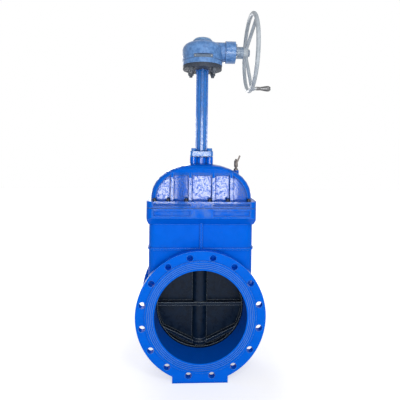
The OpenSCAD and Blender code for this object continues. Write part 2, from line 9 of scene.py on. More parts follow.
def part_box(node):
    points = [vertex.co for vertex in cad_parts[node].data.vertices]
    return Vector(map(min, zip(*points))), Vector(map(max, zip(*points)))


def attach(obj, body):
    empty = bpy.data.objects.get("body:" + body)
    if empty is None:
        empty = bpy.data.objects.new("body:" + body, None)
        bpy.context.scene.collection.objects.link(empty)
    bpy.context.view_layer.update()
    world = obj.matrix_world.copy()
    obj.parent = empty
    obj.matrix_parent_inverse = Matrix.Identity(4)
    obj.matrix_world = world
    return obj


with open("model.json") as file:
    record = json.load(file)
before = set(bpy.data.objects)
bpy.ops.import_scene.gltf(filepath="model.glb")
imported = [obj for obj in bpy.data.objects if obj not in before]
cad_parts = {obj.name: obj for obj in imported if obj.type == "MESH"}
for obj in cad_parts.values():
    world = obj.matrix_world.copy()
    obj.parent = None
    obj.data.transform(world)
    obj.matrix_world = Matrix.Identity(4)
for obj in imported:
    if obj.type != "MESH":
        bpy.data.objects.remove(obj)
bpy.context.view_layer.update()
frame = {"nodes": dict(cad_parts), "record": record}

nodes = frame["nodes"]
scene = bpy.context.scene
print("frame loaded:", len(nodes), "nodes")


# shapes: every new piece is one closed grid, or many copies of one grid in a single mesh

roundSides = 24         # points round a turned piece; in twelves, so that a hexagon has corners
roundAngles = np.arange(roundSides) * 2 * math.pi / roundSides


def gridFaces(copies, rows, cols, ring=False):
    # quads between neighbouring rows, wrapping round the columns; the last row either joins
    # the first one, as in a ring, or each end row gets a lid;
    # copy k of the grid starts at vertex k * rows * cols
    r, c = np.meshgrid(np.arange(rows if ring else rows - 1), np.arange(cols), indexing="ij")
    after = (r + 1) % rows
    quads = np.stack([r * cols + c, r * cols + (c + 1) % cols,
                      after * cols + (c + 1) % cols, after * cols + c], axis=-1).reshape(-1, 4)
    starts = (np.arange(copies) * rows * cols)[:, None, None]
    faces = (quads + starts).reshape(-1, 4).tolist()
    if not ring:
        lids = np.stack([np.arange(cols)[::-1], (rows - 1) * cols + np.arange(cols)])
        faces += (lids + starts).reshape(-1, cols).tolist()
    return faces


def addGrid(name, points, body, material, smooth=False, ring=False):
    # points has the shape (copies, rows, columns, 3), in metres in the part's own frame
    copies, rows, cols, _ = points.shape
    mesh = bpy.data.meshes.new(name)
    mesh.from_pydata(points.reshape(-1, 3).tolist(), [], gridFaces(copies, rows, cols, ring))
    mesh.validate()
    mesh.polygons.foreach_set("use_smooth", np.full(len(mesh.polygons), smooth))
    mesh.materials.append(material)
    piece = bpy.data.objects.new(name, mesh)
    scene.collection.objects.link(piece)
    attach(piece, body)


def turnedRows(rows):
    # a profile of (radius, height) pairs turned about Z: x = r cos t, y = r sin t;
    # a radius is a number, or an array with one value for each angle t
    r = np.stack([np.broadcast_to(radius, roundSides) for radius, _ in rows])
    z = np.broadcast_to(np.array([[height] for _, height in rows]), r.shape)
    return np.stack([r * np.cos(roundAngles), r * np.sin(roundAngles), z], axis=-1)


def hexRadius(flat):
    # distance from the axis to a regular hexagon: half its width over flats, divided by the
    # cosine of the angle folded into one sixth of a turn
    folded = (roundAngles + math.pi / 6) % (math.pi / 3) - math.pi / 6
    return flat / 2 / np.cos(folded)


def placeGrid(grid, spots, up, turns=0.0):
    # the grid's Z is laid along the axis up at each spot, after a turn about itself
    up = Vector(up).normalized()
    side = Vector((1, 0, 0)) if abs(up.x) < 0.5 else Vector((0, 1, 0))      # well away from up
    across = up.cross(side).normalized()
    axes = np.array([across.cross(up), across, up])
    spots = np.atleast_2d(np.asarray(spots, float))
    turns = np.broadcast_to(np.asarray(turns, float), len(spots))
    c, s = np.cos(turns)[:, None, None], np.sin(turns)[:, None, None]
    x, y, z = grid[None, ..., 0], grid[None, ..., 1], grid[None, ..., 2]
    turned = np.stack(np.broadcast_arrays(c * x - s * y, s * x + c * y, z), axis=-1)
    return turned @ axes + spots[:, None, None, :]


crownShape = {
    "topR": 0.47,           # radius of a head's level top, as a share of its width over flats
    "slope": 1.7,           # how fast the cone widens below the top
    "depths": (0.12, 0.05, 0.0),        # rows that follow the cone, in the same share
    "endBevel": 0.15,       # of a screw's end, as a share of its radius
}


def hexBolt(s, crown=crownShape):
    # washer, then a hexagon cut back by a cone at its top, so that its radius at a height is
    # the smaller of the two, then the screw's end if it shows
    flat, top = s["flat"], s["washerT"] + s["headH"]
    hexagon = hexRadius(flat)
    rows = [(s["washerR"], 0.0), (s["washerR"], s["washerT"])]
    for z in [s["washerT"]] + [top - depth * flat for depth in crown["depths"]]:
        cone = crown["topR"] * flat + crown["slope"] * (top - z)
        rows.append((np.minimum(hexagon, cone), z))
    if "endH" in s:
        r, end, bevel = s["endR"], top + s["endH"], crown["endBevel"]
        rows += [(r, top), (r, end - bevel * r), ((1 - bevel) * r, end)]
    return turnedRows(rows)


def capScrew(s):
    # washer, round head with a broken edge, and a hexagonal socket sunk into it
    top = s["washerT"] + s["headH"]
    r, edge, socket = s["headR"], s["headEdge"], hexRadius(s["socket"])
    return turnedRows([
        (s["washerR"], 0.0), (s["washerR"], s["washerT"]), (r, s["washerT"]), (r, top - edge),
        (r - edge, top), (socket, top), (socket, top - s["socketDeep"])])


def domeHead(s):
    # a quarter of an ellipse turned about its axis: r = R cos a, z = H sin a, with a small
    # level lid in place of the last step to the axis
    a = np.linspace(0, 0.5 * math.pi, s["steps"] + 1)[:-1]
    return turnedRows(list(zip(s["headR"] * np.cos(a), s["headH"] * np.sin(a))))


# shader nodes

def feed(tree, node, values):
    # a value is an output of another node, a colour of three numbers, or a plain setting
    for label, value in values.items():
        socket = node.inputs[label]
        if isinstance(value, bpy.types.NodeSocket):
            tree.links.new(value, socket)
        elif socket.type == "RGBA":
            socket.default_value = (*value, 1)
        else:
            socket.default_value = value
    return node


def addNode(tree, kind, values):
    return feed(tree, tree.nodes.new("ShaderNode" + kind), values)


def addNoise(tree, place, scale, detail, rough):
    noise = addNode(tree, "TexNoise", {
        "Vector": place, "Scale": scale, "Detail": detail, "Roughness": rough})
    return noise.outputs["Fac"]


def addRange(tree, value, fromLow, fromHigh, toLow, toHigh):
    # goes evenly from toLow to toHigh while the value goes from fromLow to fromHigh, and
    # stays level on either side
    return addNode(tree, "MapRange", {
        "Value": value, "From Min": fromLow, "From Max": fromHigh, "To Min": toLow,
        "To Max": toHigh}).outputs["Result"]


def mixColor(tree, factor, low, high):
    mix = tree.nodes.new("ShaderNodeMix")
    mix.data_type = "RGBA"
    return feed(tree, mix, {"Factor": factor, "A": low, "B": high}).outputs["Result"]


def mathNode(tree, operation, *values):
    node = tree.nodes.new("ShaderNodeMath")
    node.operation = operation
    return feed(tree, node, dict(enumerate(values))).outputs["Value"]


def vectorNode(tree, operation, *values):
    node = tree.nodes.new("ShaderNodeVectorMath")
    node.operation = operation
    return feed(tree, node, dict(enumerate(values)))


def addGroup(tree, group, values):
    node = tree.nodes.new("ShaderNodeGroup")
    node.node_tree = group
    return feed(tree, node, values)


# shader groups: an effect that several materials share

def newGroup(name, inputs, outputs):
    # each input has its kind and the value that it holds while nothing is given
    group = bpy.data.node_groups.new(name, "ShaderNodeTree")
    for label, (kind, value) in inputs.items():
        socket = group.interface.new_socket(
            label, in_out="INPUT", socket_type="NodeSocket" + kind)
        if value is not None:
            socket.default_value = value
    for label, kind in outputs.items():
        group.interface.new_socket(label, in_out="OUTPUT", socket_type="NodeSocket" + kind)
    given = group.nodes.new("NodeGroupInput").outputs
    return group, given, group.nodes.new("NodeGroupOutput")


skinNoise = {"waveDetail": 3, "waveRough": 0.5, "peelDetail": 2, "peelRough": 0.6}


def makeCastSkin(s):
    # height of a coated casting: slow waves of the sand mould mixed with the fine peel of the
    # coat; Mottle is the waves by themselves
    group, given, out = newGroup("castSkin", {
        "Vector": ("Vector", None), "Wave Scale": ("Float", 22.0),
        "Peel Scale": ("Float", 160.0), "Peel Share": ("Float", 0.25)},
        {"Height": "Float", "Mottle": "Float"})
    place = given["Vector"]
    waves = addNoise(group, place, given["Wave Scale"], s["waveDetail"], s["waveRough"])
    peel = addNoise(group, place, given["Peel Scale"], s["peelDetail"], s["peelRough"])
    mix = addNode(group, "Mix", {"Factor": given["Peel Share"], "A": waves, "B": peel})
    feed(group, out, {"Height": mix.outputs["Result"], "Mottle": waves})
    return group


highlightShadeSteps = {
    "edge": (0.99, 0.86),       # cosine from the rounded normal to the face's own, none to full
    "corner": (0.92, 0.6),      # share of the room that is open, none to full
    "edgeSamples": 4, "cornerSamples": 6,
}


def makeEdgeHighlightShade(s):
    # rounds the normals near an edge, and Mask grows as they turn away from the face: it places
    # a painted highlight on edges; Corner grows in the inner corners, where less of the room is
    # open
    # within the reach: it places painted shade there
    group, given, out = newGroup("edgeHighlightShade", {
        "Radius": ("Float", 0.003), "Reach": ("Float", 0.01)},
        {"Mask": "Float", "Corner": "Float", "Normal": "Vector"})
    bevel = addNode(group, "Bevel", {"Radius": given["Radius"]})
    bevel.samples = s["edgeSamples"]
    room = addNode(group, "AmbientOcclusion", {"Distance": given["Reach"]})
    room.samples = s["cornerSamples"]
    normal = bevel.outputs["Normal"]
    face = group.nodes.new("ShaderNodeNewGeometry").outputs["Normal"]
    cosine = vectorNode(group, "DOT_PRODUCT", normal, face).outputs["Value"]
    feed(group, out, {
        "Mask": addRange(group, cosine, *s["edge"], 0.0, 1.0),
        "Corner": addRange(group, room.outputs["AO"], *s["corner"], 0.0, 1.0),
        "Normal": normal})
    return group


mottleSteps = {"spread": (0.35, 0.65)}      # the stretch of the waves that counts


def makePaintWithHighlightShade(s):
    # colour and gloss wander between two values with the slow waves of the casting; the colour
    # is paler on edges as a painted highlight and darker in the corners as painted shade
    group, given, out = newGroup("paintWithHighlightShade", {
        "Mottle": ("Float", 0.5), "Edge": ("Float", 0.0), "Corner": ("Float", 0.0),
        "Color": ("Color", None), "Light": ("Color", None),
        "Edge Color": ("Color", None), "Corner Color": ("Color", None),
        "Edge Show": ("Float", 0.0), "Corner Show": ("Float", 0.0),
        "Rough": ("Float", 0.3), "Rough High": ("Float", 0.4)},
        {"Color": "Color", "Roughness": "Float"})
    spread = addRange(group, given["Mottle"], *s["spread"], 0.0, 1.0)
    shade = mixColor(group, spread, given["Color"], given["Light"])
    for label in ("Edge", "Corner"):
        shown = mathNode(group, "MULTIPLY", given[label], given[label + " Show"])
        shade = mixColor(group, shown, shade, given[label + " Color"])
    rough = addRange(group, spread, 0.0, 1.0, given["Rough"], given["Rough High"])
    feed(group, out, {"Color": shade, "Roughness": rough})
    return group


coatSteps = {"bare": (0.0, 0.6)}        # corner mask, from a full coat to none


def makeCoatWithShade(s):
    # where the coat lies thick and clear, and where the base under it is darker as painted
    # shade:
    # ramp(size of the normal's Y) times ramp(height of the cast skin), which breaks it into
    # grain, times ramp(corner) downwards, times ramp(Z)
    group, given, out = newGroup("coatWithShade", {
        "Vector": ("Vector", None), "Height": ("Float", 0.5), "Corner": ("Float", 0.0),
        "Flat From": ("Float", 0.9), "Flat To": ("Float", 1.0),
        "Grain From": ("Float", 0.4), "Grain To": ("Float", 0.6), "Grain Low": ("Float", 0.0),
        "Above From": ("Float", 0.0), "Above To": ("Float", 0.1)},
        {"Mask": "Float"})
    normal = group.nodes.new("ShaderNodeTexCoord").outputs["Normal"]
    lean = addNode(group, "SeparateXYZ", {"Vector": normal}).outputs["Y"]
    height = addNode(group, "SeparateXYZ", {"Vector": given["Vector"]}).outputs["Z"]
    ramps = [
        addRange(group, given["Height"], given["Grain From"], given["Grain To"],
                 given["Grain Low"], 1.0),
        addRange(group, given["Corner"], *s["bare"], 1.0, 0.0),
        addRange(group, height, given["Above From"], given["Above To"], 0.0, 1.0)]
    mask = addRange(group, mathNode(group, "ABSOLUTE", lean), given["Flat From"],
                    given["Flat To"], 0.0, 1.0)
    for ramp in ramps:
        mask = mathNode(group, "MULTIPLY", mask, ramp)
    feed(group, out, {"Mask": mask})
    return group


latheNoise = {"scale": 300.0, "detail": 2, "rough": 0.5}


def makeLatheGrain(s):
    # fine grooves off the lathe: noise with its coordinates stretched along the cut
    group, given, out = newGroup("latheGrain", {
        "Vector": ("Vector", None), "Stretch": ("Vector", (1, 1, 1))}, {"Height": "Float"})
    place = addNode(group, "Mapping", {"Vector": given["Vector"], "Scale": given["Stretch"]})
    grain = addNoise(group, place.outputs["Vector"], s["scale"], s["detail"], s["rough"])
    feed(group, out, {"Height": grain})
    return group


castSkin = makeCastSkin(skinNoise)
edgeHighlightShade = makeEdgeHighlightShade(highlightShadeSteps)
paintWithHighlightShade = makePaintWithHighlightShade(mottleSteps)
coatWithShade = makeCoatWithShade(coatSteps)
latheGrain = makeLatheGrain(latheNoise)
print("shader groups built:", len(bpy.data.node_groups))


# materials

def newMaterial(name, s):
    # plain principled finish; numbers that don't change over the surface sit on its sockets
    material = bpy.data.materials.new(name)
    material.use_nodes = True
    tree = material.node_tree
    shader = feed(tree, tree.nodes["Principled BSDF"], {
        "Base Color": s["color"], "Roughness": s["rough"],
        "Metallic": s.get("metal", 0.0), "Specular IOR Level": s.get("specular", 0.5)})
    place = tree.nodes.new("ShaderNodeTexCoord").outputs["Object"]
    return material, tree, shader, place


def addBump(tree, shader, height, deep, strength=1.0):
    bump = addNode(tree, "Bump", {"Height": height, "Distance": deep, "Strength": strength})
    feed(tree, shader, {"Normal": bump.outputs["Normal"]})
    return bump


def addSkin(tree, shader, place, s):
    # the casting's skin as a bump, laid over rounded edges where the settings have an edge
    skin = addGroup(tree, castSkin, {
        "Vector": place, "Wave Scale": s["waveScale"], "Peel Scale": s["peelScale"],
        "Peel Share": s["peelShare"]})
    bump = addBump(tree, shader, skin.outputs["Height"], s["skinDeep"])
    if "edge" not in s:
        return skin, None
    paintedLightMasks = addGroup(tree, edgeHighlightShade, {"Radius": s["edge"], "Reach": s["cornerReach"]})
    feed(tree, bump, {"Normal": paintedLightMasks.outputs["Normal"]})
    return skin, paintedLightMasks


def addCoat(tree, shader, place, skin, paintedLightMasks, s):
    # a clear coat on the flat faces at the front and back, with its mask handed on for the
    # painted shade under it; it reads the corners, so a look with a coat has an edge too
    values = {"Vector": place, "Height": skin.outputs["Height"],
              "Corner": paintedLightMasks.outputs["Corner"], "Grain Low": s["coatLow"]}
    for label in ("Flat", "Grain", "Above"):
        values[label + " From"], values[label + " To"] = s["coat" + label]
    mask = addGroup(tree, coatWithShade, values).outputs["Mask"]
    feed(tree, shader, {
        "Coat Weight": mask, "Coat Roughness": s["coatRough"], "Coat IOR": s["coatIor"]})
    return mask


def boreRadius(tree, place):
    # distance from the bore's axis: the length of (x, 0, z)
    across = vectorNode(tree, "MULTIPLY", place, (1, 0, 1)).outputs["Vector"]
    return vectorNode(tree, "LENGTH", across).outputs["Value"]


def ringHighlightMask(tree, radius, s):
    # painted highlight lines on the turned rings round the bore: u = (radius - start) / pitch,
    # and the mask is strongest where the fraction of u is the middle of a groove, for as many
    # turns as there are rings
    turns = mathNode(tree, "DIVIDE", mathNode(tree, "SUBTRACT", radius, s["ringStart"]),
                     s["ringPitch"])
    half = 0.5 * s["ringCount"]
    inside = mathNode(tree, "COMPARE", turns, half, half)
    offset = mathNode(tree, "SUBTRACT", mathNode(tree, "FRACT", turns), s["ringMiddle"])
    line = addRange(tree, mathNode(tree, "ABSOLUTE", offset),
                    s["ringHalf"], s["ringCore"], 0.0, s["ringShow"])
    return mathNode(tree, "MULTIPLY", inside, line)


def paintedMaterial(name, s):
    # paint in two shades over the cast skin; the settings may add a painted highlight on edges
    # and painted shade in corners, painted highlight rings on a pipe flange's seal face,
    # painted shade in its bore, and a clear coat with painted shade under it
    material, tree, shader, place = newMaterial(name, s)
    skin, paintedLightMasks = addSkin(tree, shader, place, s)
    radius = boreRadius(tree, place) if "ringShow" in s else None
    values = {"Mottle": skin.outputs["Mottle"], "Color": s["color"], "Light": s["light"],
              "Rough": s["rough"], "Rough High": s["roughHigh"]}
    if paintedLightMasks:
        edge = paintedLightMasks.outputs["Mask"]
        if radius:      # no painted edge highlight on the seal face, so that its painted ring highlights show
            beyond = mathNode(tree, "GREATER_THAN", radius, s["sealR"])
            edge = mathNode(tree, "MULTIPLY", edge, beyond)
        values |= {"Edge": edge, "Edge Color": s["edgeColor"], "Edge Show": s["edgeShow"],
                   "Corner": paintedLightMasks.outputs["Corner"], "Corner Color": s["cornerColor"],
                   "Corner Show": s["cornerShow"]}
    paint = addGroup(tree, paintWithHighlightShade, values)
    shade = paint.outputs["Color"]
    if radius:
        # painted highlight: the seal face's grooves are mixed towards the edge colour
        shade = mixColor(tree, ringHighlightMask(tree, radius, s), shade, s["edgeColor"])
        # painted shade: inside the bore the paint is mixed towards the dark corner colour
        inside = mathNode(tree, "LESS_THAN", radius, s["boreR"])
        boreShade = mathNode(tree, "MULTIPLY", inside, s["boreShow"])
        shade = mixColor(tree, boreShade, shade, s["cornerColor"])
    if "coatBase" in s:
        coat = addCoat(tree, shader, place, skin, paintedLightMasks, s)
        # painted shade: the base is darker under the coat, set against the reflection it adds
        shade = mixColor(tree, coat, shade, s["coatBase"])
    feed(tree, shader, {"Base Color": shade, "Roughness": paint.outputs["Roughness"]})
    return material


# lengths are in metres, and the scales count bumps to the metre;
# each pair of the coat is where its ramp starts and where it is full
# edgeColor paints a highlight on edges and on the seal's rings, cornerColor paints shade in
# corners and in the bore, and coatBase paints shade under the coat
bodyEpoxyLook = {
    "color": (0.0, 0.125, 0.72), "light": (0.0, 0.135, 0.76),
    "rough": 0.16, "roughHigh": 0.24, "specular": 0.04,
    "edge": 0.0014, "edgeColor": (0.3, 0.58, 1.0), "edgeShow": 0.8,
    "cornerReach": 0.012, "cornerColor": (0.0, 0.03, 0.2), "cornerShow": 0.4,
    "ringStart": 0.20745, "ringPitch": 0.007455, "ringCount": 4, "ringShow": 0.6,
    "ringMiddle": 0.19, "ringHalf": 0.14, "ringCore": 0.042,    # of a groove, in pitches
    "sealR": 0.2375,        # outer edge of the seal face
    "boreR": 0.2008, "boreShow": 0.45,      # painted shade: the bore's own wall is a deeper blue
    "coatBase": (0.0, 0.12, 0.6), "coatRough": 0.12, "coatIor": 1.45, "coatLow": 0.0,
    "coatFlat": (0.96, 0.99), "coatGrain": (0.42, 0.58),
    "coatAbove": (0.41, 0.43),      # on the top flange only
    "waveScale": 34.0, "peelScale": 210.0, "peelShare": 0.35, "skinDeep": 0.0012,
}
# the bonnet's coat lies thick and glossy on the flat faces at the front and back, over a
# darker base that is painted shade
bonnetEpoxyLook = {
    "color": (0.0, 0.12, 0.68), "light": (0.0, 0.14, 0.76),
    "rough": 0.12, "roughHigh": 0.2, "specular": 0.04,
    "edge": 0.003, "edgeColor": (0.35, 0.56, 0.95), "edgeShow": 0.75,
    "cornerReach": 0.012, "cornerColor": (0.0, 0.03, 0.2), "cornerShow": 0.75,
    "coatBase": (0.0, 0.08, 0.42), "coatRough": 0.07, "coatIor": 1.66, "coatLow": 0.0,
    "coatFlat": (0.96, 0.99), "coatGrain": (0.4, 0.56), "coatAbove": (0.0, 0.1),
    "waveScale": 80.0, "peelScale": 200.0, "peelShare": 0.65, "skinDeep": 0.0012,
}
columnEpoxyLook = {
    "color": (0.02, 0.19, 0.66), "light": (0.03, 0.24, 0.76),
    "rough": 0.16, "roughHigh": 0.28, "specular": 0.3,
    "edge": 0.003, "edgeColor": (0.3, 0.5, 0.9), "edgeShow": 0.3,
    "cornerReach": 0.012, "cornerColor": (0.0, 0.04, 0.2), "cornerShow": 0.8,
    "coatBase": (0.01, 0.12, 0.42), "coatRough": 0.12, "coatIor": 1.6, "coatLow": 0.1,
    "coatFlat": (0.8, 0.95), "coatGrain": (0.38, 0.58), "coatAbove": (0.0, 0.1),
    "waveScale": 80.0, "peelScale": 240.0, "peelShare": 0.35, "skinDeep": 0.004,
}
# painted shade: the column's top flange, under the gearbox, is a dark grey
flangeUnderShadeLook = {
    "color": (0.03, 0.038, 0.056), "light": (0.05, 0.063, 0.088),
    "rough": 0.5, "roughHigh": 0.7, "specular": 0.3,
    "edge": 0.002, "edgeColor": (0.2, 0.23, 0.28), "edgeShow": 0.5,
    "cornerReach": 0.008, "cornerColor": (0.01, 0.01, 0.015), "cornerShow": 0.6,
    "waveScale": 60.0, "peelScale": 260.0, "peelShare": 0.4, "skinDeep": 0.0008,
}
gearPaintLook = {
    "color": (0.06, 0.18, 0.45), "light": (0.14, 0.31, 0.64),
    "rough": 0.28, "roughHigh": 0.42, "specular": 0.45,
    "edge": 0.003, "edgeColor": (0.35, 0.5, 0.8), "edgeShow": 0.45,
    "cornerReach": 0.01, "cornerColor": (0.01, 0.05, 0.16), "cornerShow": 0.7,
    "waveScale": 75.0, "peelScale": 260.0, "peelShare": 0.4, "skinDeep": 0.0025,
}
# painted light: the gearbox cap is a lighter copy of the gearbox paint
capLitPaintLook = gearPaintLook | {"color": (0.12, 0.26, 0.48), "light": (0.22, 0.41, 0.68)}
collarPaintLook = gearPaintLook | {
    "rough": 0.14, "roughHigh": 0.2, "specular": 0.4, "skinDeep": 0.0008}
sleevePaintLook = gearPaintLook | {
    "color": (0.14, 0.21, 0.31), "light": (0.26, 0.34, 0.45),
    "rough": 0.15, "specular": 0.6, "skinDeep": 0.0008}
wheelPaintLook = {
    "color": (0.36, 0.41, 0.46), "light": (0.48, 0.53, 0.58),
    "rough": 0.35, "roughHigh": 0.5, "specular": 0.5,
    "waveScale": 40.0, "peelScale": 300.0, "peelShare": 0.4, "skinDeep": 0.0006,
}
wedgeRubberLook = {
    "color": (0.003, 0.009, 0.022), "light": (0.005, 0.014, 0.032),
    "rough": 0.24, "roughHigh": 0.36, "specular": 0.12,
    "edge": 0.003, "edgeColor": (0.32, 0.38, 0.43), "edgeShow": 1.0,
    "cornerReach": 0.01, "cornerColor": (0.0, 0.002, 0.006), "cornerShow": 0.6,
    "waveScale": 40.0, "peelScale": 320.0, "peelShare": 0.4, "skinDeep": 0.0008,
}
bodyEpoxy = paintedMaterial("bodyEpoxy", bodyEpoxyLook)
bonnetEpoxy = paintedMaterial("bonnetEpoxy", bonnetEpoxyLook)
columnEpoxy = paintedMaterial("columnEpoxy", columnEpoxyLook)
flangeUnderShade = paintedMaterial("flangeUnderShade", flangeUnderShadeLook)
gearPaint = paintedMaterial("gearPaint", gearPaintLook)
capLitPaint = paintedMaterial("capLitPaint", capLitPaintLook)
collarPaint = paintedMaterial("collarPaint", collarPaintLook)
sleevePaint = paintedMaterial("sleevePaint", sleevePaintLook)
wheelPaint = paintedMaterial("wheelPaint", wheelPaintLook)
wedgeRubber = paintedMaterial("wedgeRubber", wedgeRubberLook)


def rubberSheetMaterial(name, s):
    material, tree, shader, place = newMaterial(name, s)
    addSkin(tree, shader, place, s)
    return material


gasketLook = {
    "color": (0.012, 0.012, 0.013), "rough": 0.6, "specular": 0.4,
    "waveScale": 60.0, "peelScale": 500.0, "peelShare": 0.7, "skinDeep": 0.0003,
}
gasketRubber = rubberSheetMaterial("gasketRubber", gasketLook)

latheCut = {
    "deep": 0.0001, "strength": 0.6,
    "sheen": (0.3, 0.7),        # the stretch of the grain that the gloss follows
}


def turnedMetal(name, s, cut=latheCut):
    # bare metal, its grooves and its gloss both from the lathe's grain
    material, tree, shader, place = newMaterial(name, s)
    grain = addGroup(tree, latheGrain, {"Vector": place, "Stretch": s["stretch"]})
    height = grain.outputs["Height"]
    addBump(tree, shader, height, cut["deep"], cut["strength"])
    sheen = addRange(tree, height, *cut["sheen"], s["rough"], s["roughHigh"])
    feed(tree, shader, {"Roughness": sheen})
    return material


stemSteel = turnedMetal("stemSteel", {
    "color": (0.5, 0.51, 0.53), "metal": 1.0, "rough": 0.25, "roughHigh": 0.4,
    "stretch": (0.1, 0.1, 3.0)})
stemBrass = turnedMetal("stemBrass", {
    "color": (0.6, 0.42, 0.14), "metal": 1.0, "rough": 0.28, "roughHigh": 0.42,
    "stretch": (0.1, 0.1, 3.0)})
fastenerSteel = turnedMetal("fastenerSteel", {
    "color": (0.3, 0.31, 0.32), "metal": 1.0, "rough": 0.35, "roughHigh": 0.55,
    "stretch": (1.0, 1.0, 1.0)})
gripSteel = turnedMetal("gripSteel", {
    "color": (0.14, 0.14, 0.145), "metal": 1.0, "rough": 0.28, "roughHigh": 0.45,
    "stretch": (3.0, 0.1, 0.1)})
cockMetal = turnedMetal("cockMetal", {
    "color": (0.1, 0.09, 0.085), "metal": 1.0, "rough": 0.35, "roughHigh": 0.55,
    "stretch": (1.0, 1.0, 1.0)})
plateSteel = turnedMetal("plateSteel", {
    "color": (0.1, 0.14, 0.2), "metal": 0.4, "rough": 0.45, "roughHigh": 0.6,
    "stretch": (0.2, 1.0, 3.0)})
nutSteel = turnedMetal("nutSteel", {
    "color": (0.1, 0.115, 0.14), "metal": 0.6, "rough": 0.35, "roughHigh": 0.5,
    "stretch": (1.0, 1.0, 1.0)})
darkSteel = turnedMetal("darkSteel", {
    "color": (0.035, 0.04, 0.05), "metal": 0.8, "rough": 0.35, "roughHigh": 0.5,
    "stretch": (1.0, 1.0, 1.0)})
print("materials made")

slotFinish = {
    "body_epoxy": bodyEpoxy, "column_epoxy": columnEpoxy, "flange_primer": flangeUnderShade,
    "gearbox_paint": gearPaint, "wheel_paint": wheelPaint, "wedge_rubber": wedgeRubber,
    "gasket_rubber": gasketRubber, "stem_brass": stemBrass, "stem_steel": stemSteel,
    "plate_steel": plateSteel, "fastener_steel": fastenerSteel, "grip_steel": gripSteel,
    "cock_metal": cockMetal,
}
ownFinish = {       # nodes that don't look like the rest of their slot
    "bonnet": bonnetEpoxy, "gearbox_cap": capLitPaint, "pinion_collar": collarPaint,
    "pinion_sleeve": sleevePaint, "wheel_nut": sleevePaint,
}
for part in frame["record"]["subparts"]:
    mesh = nodes[part["node"]].data
    mesh.materials.clear()
    mesh.materials.append(ownFinish.get(part["node"], slotFinish[part["material_slot"]]))
print("finishes laid on", len(nodes), "nodes")


# fasteners: each row is seated on a face whose place is read from the frame

bonnetLow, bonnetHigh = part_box("bonnet")
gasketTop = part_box("bonnet_gasket")[1].z
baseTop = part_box("column_base")[1].z
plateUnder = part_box("column_top_flange")[0].z
stemY = 0.5 * (bonnetLow.y + bonnetHigh.y)

bonnetScrews = {
    "x": (-0.208, -0.149, -0.069, 0.035, 0.115, 0.208),
    "y": 0.112,             # out from the stem's plane
    "flangeT": 0.029,       # of the bonnet, from its gasket up
    "headR": 0.0075, "headH": 0.010, "headEdge": 0.0009, "socket": 0.008, "socketDeep": 0.005,
    "washerR": 0.0095, "washerT": 0.002,
}


def addBonnetScrews(s):
    # one row along the front, and the same row turned half round the stem along the back
    x = np.array(s["x"])
    z = np.full(len(x), gasketTop + s["flangeT"])
    front = np.column_stack([x, np.full(len(x), stemY - s["y"]), z])
    back = np.column_stack([-x, np.full(len(x), stemY + s["y"]), z])
    spots = np.concatenate([front, back])
    addGrid("bonnet_screws", placeGrid(capScrew(s), spots, (0, 0, 1)), "valve",
            darkSteel)


addBonnetScrews(bonnetScrews)


def addCornerBolts(name, z, up, material, s):
    # one at each corner of a square round the stem, turned as the spanner left it
    side = np.array([(-1, -1), (1, -1), (-1, 1), (1, 1)]) * s["out"]
    spots = np.column_stack([side[:, 0], stemY + side[:, 1], np.full(len(side), z)])
    addGrid(name, placeGrid(hexBolt(s), spots, up, s["turns"]), "valve", material)


baseBolts = {
    "out": 0.0375,          # from the stem to each pillar, along X and Y
    "turns": (0.3, 0.9, 0.1, 0.6),      # radians
    "flat": 0.022, "headH": 0.012, "washerR": 0.0135, "washerT": 0.0025,
}
addCornerBolts("base_plate_bolts", baseTop, (0, 0, 1), columnEpoxy, baseBolts)

hangingNuts = {
    "out": 0.053, "turns": (0.2, 0.7, 0.4, 0.9),
    "flat": 0.024, "headH": 0.013, "washerR": 0.0145, "washerT": 0.003,
    "endR": 0.008, "endH": 0.009,
}
addCornerBolts("top_flange_nuts", plateUnder, (0, 0, -1), nutSteel,
               hangingNuts)

collarScrews = {
    "circle": 0.038, "angles": (45, 135, 225, 315), "turns": (0.1, 0.5, 0.8, 0.2),
    "flat": 0.010, "headH": 0.006, "washerR": 0.0065, "washerT": 0.001,
}


def addCollarScrews(s):
    low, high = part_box("pinion_collar")
    a = np.radians(s["angles"])
    spots = np.column_stack([np.full(len(a), high.x), stemY + s["circle"] * np.cos(a),
                             0.5 * (low.z + high.z) + s["circle"] * np.sin(a)])
    addGrid("collar_screws", placeGrid(hexBolt(s), spots, (1, 0, 0), s["turns"]),
            "valve", fastenerSteel)


addCollarScrews(collarScrews)

plateRivets = {"fromEnd": 0.006, "headR": 0.0035, "headH": 0.002, "steps": 6}


def addPlateRivets(s):
    low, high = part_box("blank_nameplate")
    z = 0.5 * (low.z + high.z)
    spots = [(low.x + s["fromEnd"], low.y, z), (high.x - s["fromEnd"], low.y, z)]
    addGrid("plate_rivets", placeGrid(domeHead(s), spots, (0, -1, 0)), "valve",
            fastenerSteel, smooth=True)


addPlateRivets(plateRivets)
print("fasteners made")


def crossOutline(t, core, reach, half):
    # radius at angle t of a round core with four square ribs: the larger of the core and
    # a rectangle's edge, with the angle folded into one quarter turn
    folded = (t + math.pi / 4) % (math.pi / 2) - math.pi / 4
    across = half / np.maximum(np.abs(np.sin(folded)), 1e-6)      # never over zero
    along = reach / np.cos(folded)
    return np.maximum(core, np.minimum(along, across))


weldBead = {
    "core": 0.021, "reach": 0.0285, "half": 0.0055,    # the column's own outline
    "size": 0.0035, "ripple": 0.0005, "ripples": 90,
    "along": 360, "around": 9,
}


